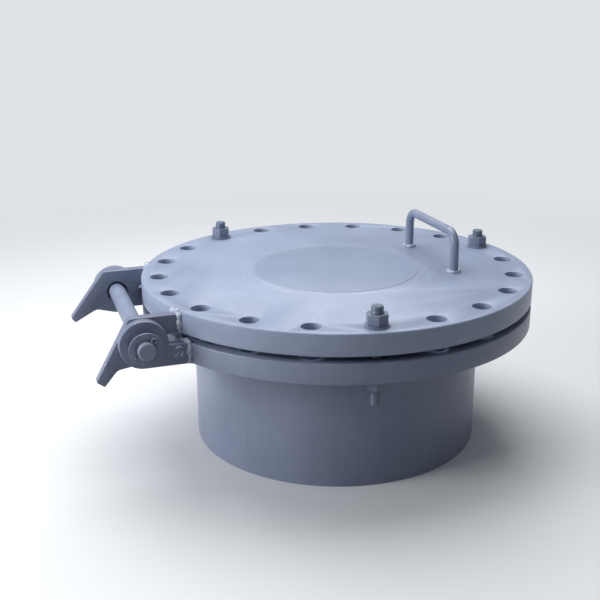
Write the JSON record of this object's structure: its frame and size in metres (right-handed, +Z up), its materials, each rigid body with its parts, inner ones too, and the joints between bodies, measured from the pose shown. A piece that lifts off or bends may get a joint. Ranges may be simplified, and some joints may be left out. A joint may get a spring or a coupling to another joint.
{
  "type": "tank manway cover",
  "caption": "Round bolted steel manway: a flanged weld-in neck closed by a hinged blind cover with a lift handle, a gasket and stud bolts.",
  "frame": {"origin": "centre of the neck's lower end, on the plane that it rests on", "axes": "+Z up the neck's axis, the hinge on the -X side, the hinge pin along Y with its long end towards -Y"},
  "size_m": [0.8322, 0.715, 0.39],
  "materials": {
    "grey_enamel": "semi-gloss blue-grey machinery enamel over plate and pipe",
    "painted_weld": "the same enamel over rough weld beads",
    "painted_fastener": "the same enamel brushed over studs, nuts, washers and the pin",
    "gasket_sheet": "dull dark pressed sheet"
  },
  "bodies": {
    "neck_and_flange": {"neck": "grey_enamel", "neck_flange": "grey_enamel", "flange_weld_outer": "painted_weld", "flange_weld_inner": "painted_weld", "gasket": "gasket_sheet", "flange_ear_front": "grey_enamel", "flange_ear_back": "grey_enamel", "flange_ear_weld_front": "painted_weld", "flange_ear_weld_back": "painted_weld", "lower_nut_rear": "painted_fastener", "lower_nut_right": "painted_fastener", "lower_nut_front": "painted_fastener"},
    "cover": {"cover_plate": "grey_enamel", "cover_ear_front": "grey_enamel", "cover_ear_back": "grey_enamel", "cover_ear_weld_front": "painted_weld", "cover_ear_weld_back": "painted_weld", "handle": "grey_enamel", "handle_welds": "painted_weld"},
    "pin": {"hinge_pin": "painted_fastener", "pin_washer_front": "painted_fastener", "pin_washer_back": "painted_fastener", "split_pin_front": "painted_fastener", "split_pin_back": "painted_fastener"},
    "bolt_rear": {"stud_rear": "painted_fastener", "upper_nut_rear": "painted_fastener", "upper_washer_rear": "painted_fastener"},
    "bolt_right": {"stud_right": "painted_fastener", "upper_nut_right": "painted_fastener", "upper_washer_right": "painted_fastener"},
    "bolt_front": {"stud_front": "painted_fastener", "upper_nut_front": "painted_fastener", "upper_washer_front": "painted_fastener"}
  },
  "joints": [
    {"name": "cover_hinge", "type": "hinge", "parent": "neck_and_flange", "child": "cover", "pos_m": [-0.388, 0, 0.265], "axis": [0, -1, 0], "range_deg": [0, 97]},
    {"name": "pin_turn", "type": "hinge", "parent": "neck_and_flange", "child": "pin", "pos_m": [-0.388, 0, 0.265], "axis": [0, 1, 0], "continuous": true},
    {"name": "bolt_rear_draw", "type": "slide", "parent": "cover", "child": "bolt_rear", "axis": [0, 0, 1], "range_m": [0, 0.11]},
    {"name": "bolt_right_draw", "type": "slide", "parent": "cover", "child": "bolt_right", "axis": [0, 0, 1], "range_m": [0, 0.11]},
    {"name": "bolt_front_draw", "type": "slide", "parent": "cover", "child": "bolt_front", "axis": [0, 0, 1], "range_m": [0, 0.11]}
  ]
}
